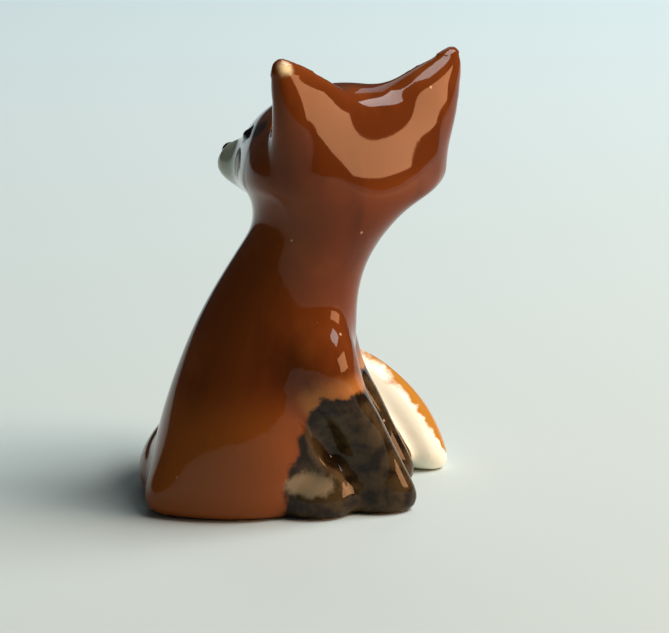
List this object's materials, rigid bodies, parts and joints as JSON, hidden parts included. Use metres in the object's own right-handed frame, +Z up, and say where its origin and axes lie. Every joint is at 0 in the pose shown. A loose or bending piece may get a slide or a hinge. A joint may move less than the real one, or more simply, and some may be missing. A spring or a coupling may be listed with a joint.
{
  "type": "fox figurine",
  "caption": "Glazed china figurine of a sitting fox that looks back over its left shoulder, with its brush round its left side.",
  "frame": {"origin": "middle of the flat foot that the figurine stands on, at the height of the table", "axes": "+X the way the trunk and front paws point, +Y the fox's left side, where its brush lies, +Z up"},
  "size_m": [0.0345, 0.0271, 0.0481],
  "materials": {
    "chestnut_glaze": "high gloss",
    "dark_glaze": "high gloss",
    "brush_glaze": "high gloss"
  },
  "bodies": {
    "root": {"body": "chestnut_glaze", "head": "chestnut_glaze", "left_ear": "chestnut_glaze", "right_ear": "chestnut_glaze", "left_front_leg": "dark_glaze", "right_front_leg": "dark_glaze", "left_hind_foot": "dark_glaze", "right_hind_foot": "dark_glaze", "tail": "brush_glaze"}
  },
  "joints": []
}
